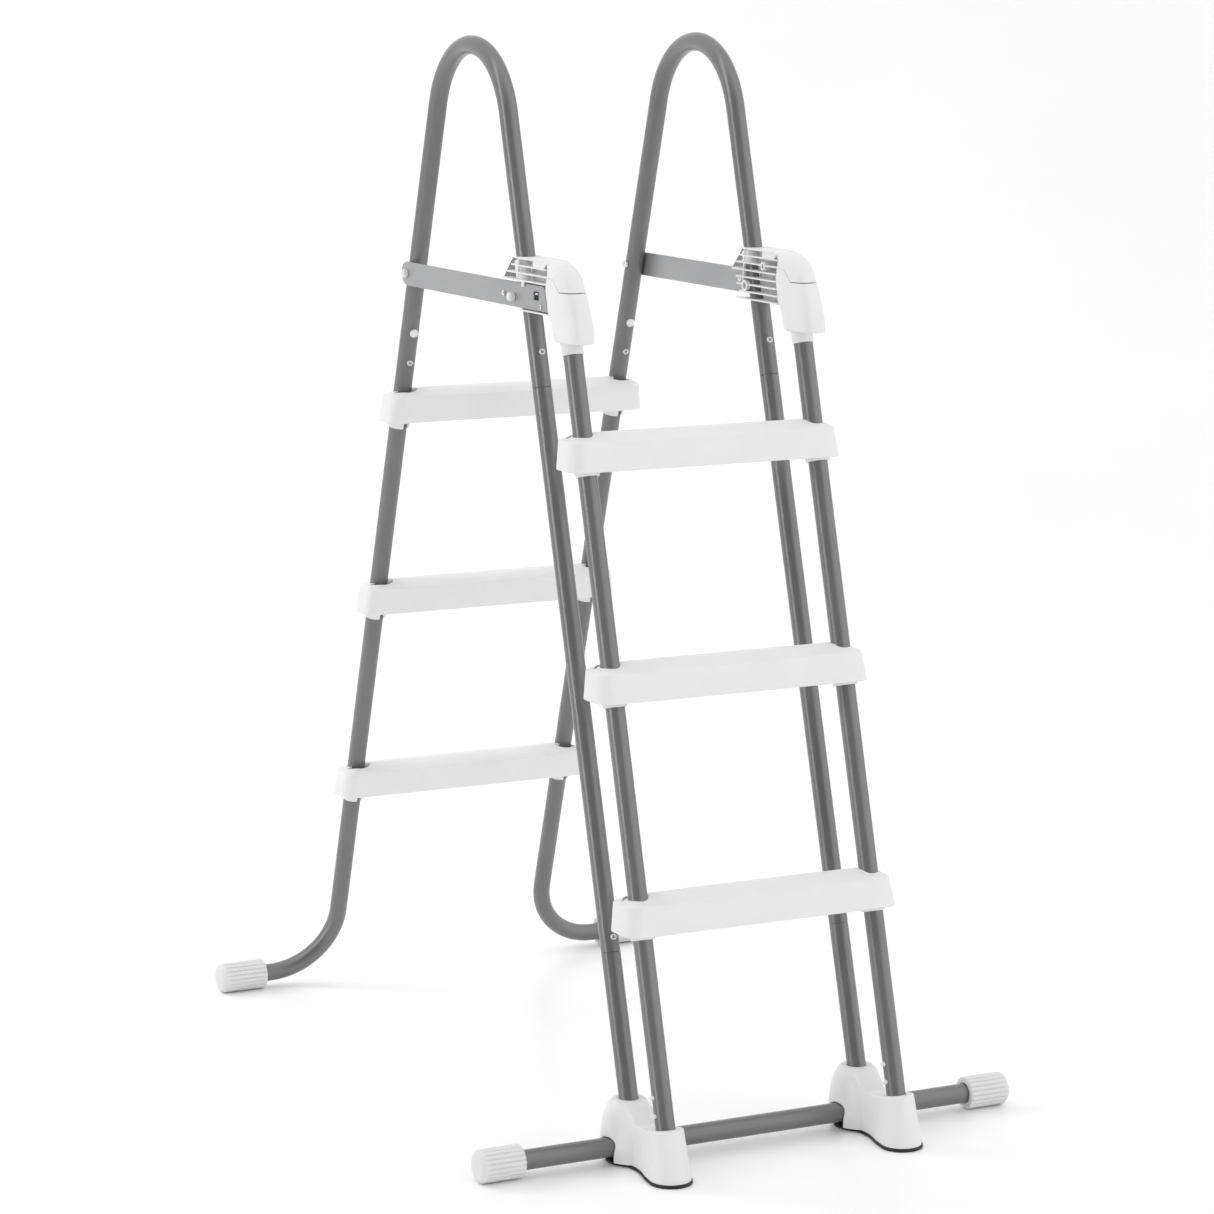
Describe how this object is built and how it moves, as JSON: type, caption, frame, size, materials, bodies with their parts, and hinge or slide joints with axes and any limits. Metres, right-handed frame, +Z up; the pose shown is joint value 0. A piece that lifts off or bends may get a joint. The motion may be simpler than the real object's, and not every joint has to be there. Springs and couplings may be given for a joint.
{
  "type": "pool ladder",
  "caption": "A-frame pool ladder: bent tube handrails over splayed legs, moulded treads on both sides, an outer tread unit that lifts off, ribbed brackets and floor shoes on a cross tube.",
  "frame": {"origin": "centre of the bounding box's bottom face, on the floor midway between the two pairs of feet", "axes": "+Z up; -Y is the outer side that carries the lift-off steps, +Y the pool side; X runs along the treads"},
  "size_m": [0.833, 1.2278, 1.5125],
  "materials": {
    "painted_steel": "semi-gloss grey powder coat",
    "white_plastic": "satin moulded white plastic",
    "rubber": "matt black rubber",
    "bright_steel": "bright plated steel"
  },
  "bodies": {
    "frame": {"bar_bolt_left": "bright_steel", "bar_bolt_right": "bright_steel", "bar_knob_left": "white_plastic", "bar_knob_right": "white_plastic", "bar_rivet_left": "bright_steel", "bar_rivet_right": "bright_steel", "base_cross_tube": "painted_steel", "base_foot_left": "white_plastic", "base_foot_right": "white_plastic", "bracket_screw_left": "bright_steel", "bracket_screw_right": "bright_steel", "cap_nut_left": "white_plastic", "cap_nut_right": "white_plastic", "end_cap_front_left": "white_plastic", "end_cap_front_right": "white_plastic", "end_cap_rear_left": "white_plastic", "end_cap_rear_right": "white_plastic", "front_leg_low_left": "painted_steel", "front_leg_low_right": "painted_steel", "front_leg_mid_left": "painted_steel", "front_leg_mid_right": "painted_steel", "guide_collar_left": "white_plastic", "guide_collar_right": "white_plastic", "handrail_left": "painted_steel", "handrail_right": "painted_steel", "leg_plug_left": "white_plastic", "leg_plug_right": "white_plastic", "rear_foot_leg_left": "painted_steel", "rear_foot_leg_right": "painted_steel", "rear_leg_mid_left": "painted_steel", "rear_leg_mid_right": "painted_steel", "rear_step_1": "white_plastic", "rear_step_2": "white_plastic", "rear_step_3": "white_plastic", "rubber_pad_left": "rubber", "rubber_pad_right": "rubber", "side_bar_left": "painted_steel", "side_bar_right": "painted_steel", "step_sleeve_left": "white_plastic", "step_sleeve_right": "white_plastic", "top_bracket_left": "white_plastic", "top_bracket_right": "white_plastic"},
    "removable_steps": {"front_step_1": "white_plastic", "front_step_2": "white_plastic", "front_step_3": "white_plastic", "step_tube_left": "painted_steel", "step_tube_right": "painted_steel", "tube_end_plug_left": "white_plastic", "tube_end_plug_right": "white_plastic"},
    "button_front_upper_left_body": {"button_front_upper_left": "bright_steel"},
    "button_front_upper_right_body": {"button_front_upper_right": "bright_steel"},
    "button_front_lower_left_body": {"button_front_lower_left": "bright_steel"},
    "button_front_lower_right_body": {"button_front_lower_right": "bright_steel"},
    "button_rear_upper_left_body": {"button_rear_upper_left": "bright_steel"},
    "button_rear_upper_right_body": {"button_rear_upper_right": "bright_steel"}
  },
  "joints": [
    {"name": "steps_lift", "type": "slide", "parent": "frame", "child": "removable_steps", "axis": [0, 0.2639, 0.9646], "range_m": [0, 0.045]},
    {"name": "button_front_upper_left_press", "type": "slide", "parent": "frame", "child": "button_front_upper_left_body", "axis": [0, 0.9627, -0.2706], "range_m": [0, 0.004], "stiffness_N_per_m": 900},
    {"name": "button_front_upper_right_press", "type": "slide", "parent": "frame", "child": "button_front_upper_right_body", "axis": [0, 0.9627, -0.2706], "range_m": [0, 0.004], "stiffness_N_per_m": 900},
    {"name": "button_front_lower_left_press", "type": "slide", "parent": "frame", "child": "button_front_lower_left_body", "axis": [0, 0.9627, -0.2706], "range_m": [0, 0.004], "stiffness_N_per_m": 900},
    {"name": "button_front_lower_right_press", "type": "slide", "parent": "frame", "child": "button_front_lower_right_body", "axis": [0, 0.9627, -0.2706], "range_m": [0, 0.004], "stiffness_N_per_m": 900},
    {"name": "button_rear_upper_left_press", "type": "slide", "parent": "frame", "child": "button_rear_upper_left_body", "axis": [0, 0.9533, 0.3021], "range_m": [0, 0.004], "stiffness_N_per_m": 900},
    {"name": "button_rear_upper_right_press", "type": "slide", "parent": "frame", "child": "button_rear_upper_right_body", "axis": [0, 0.9533, 0.3021], "range_m": [0, 0.004], "stiffness_N_per_m": 900}
  ]
}
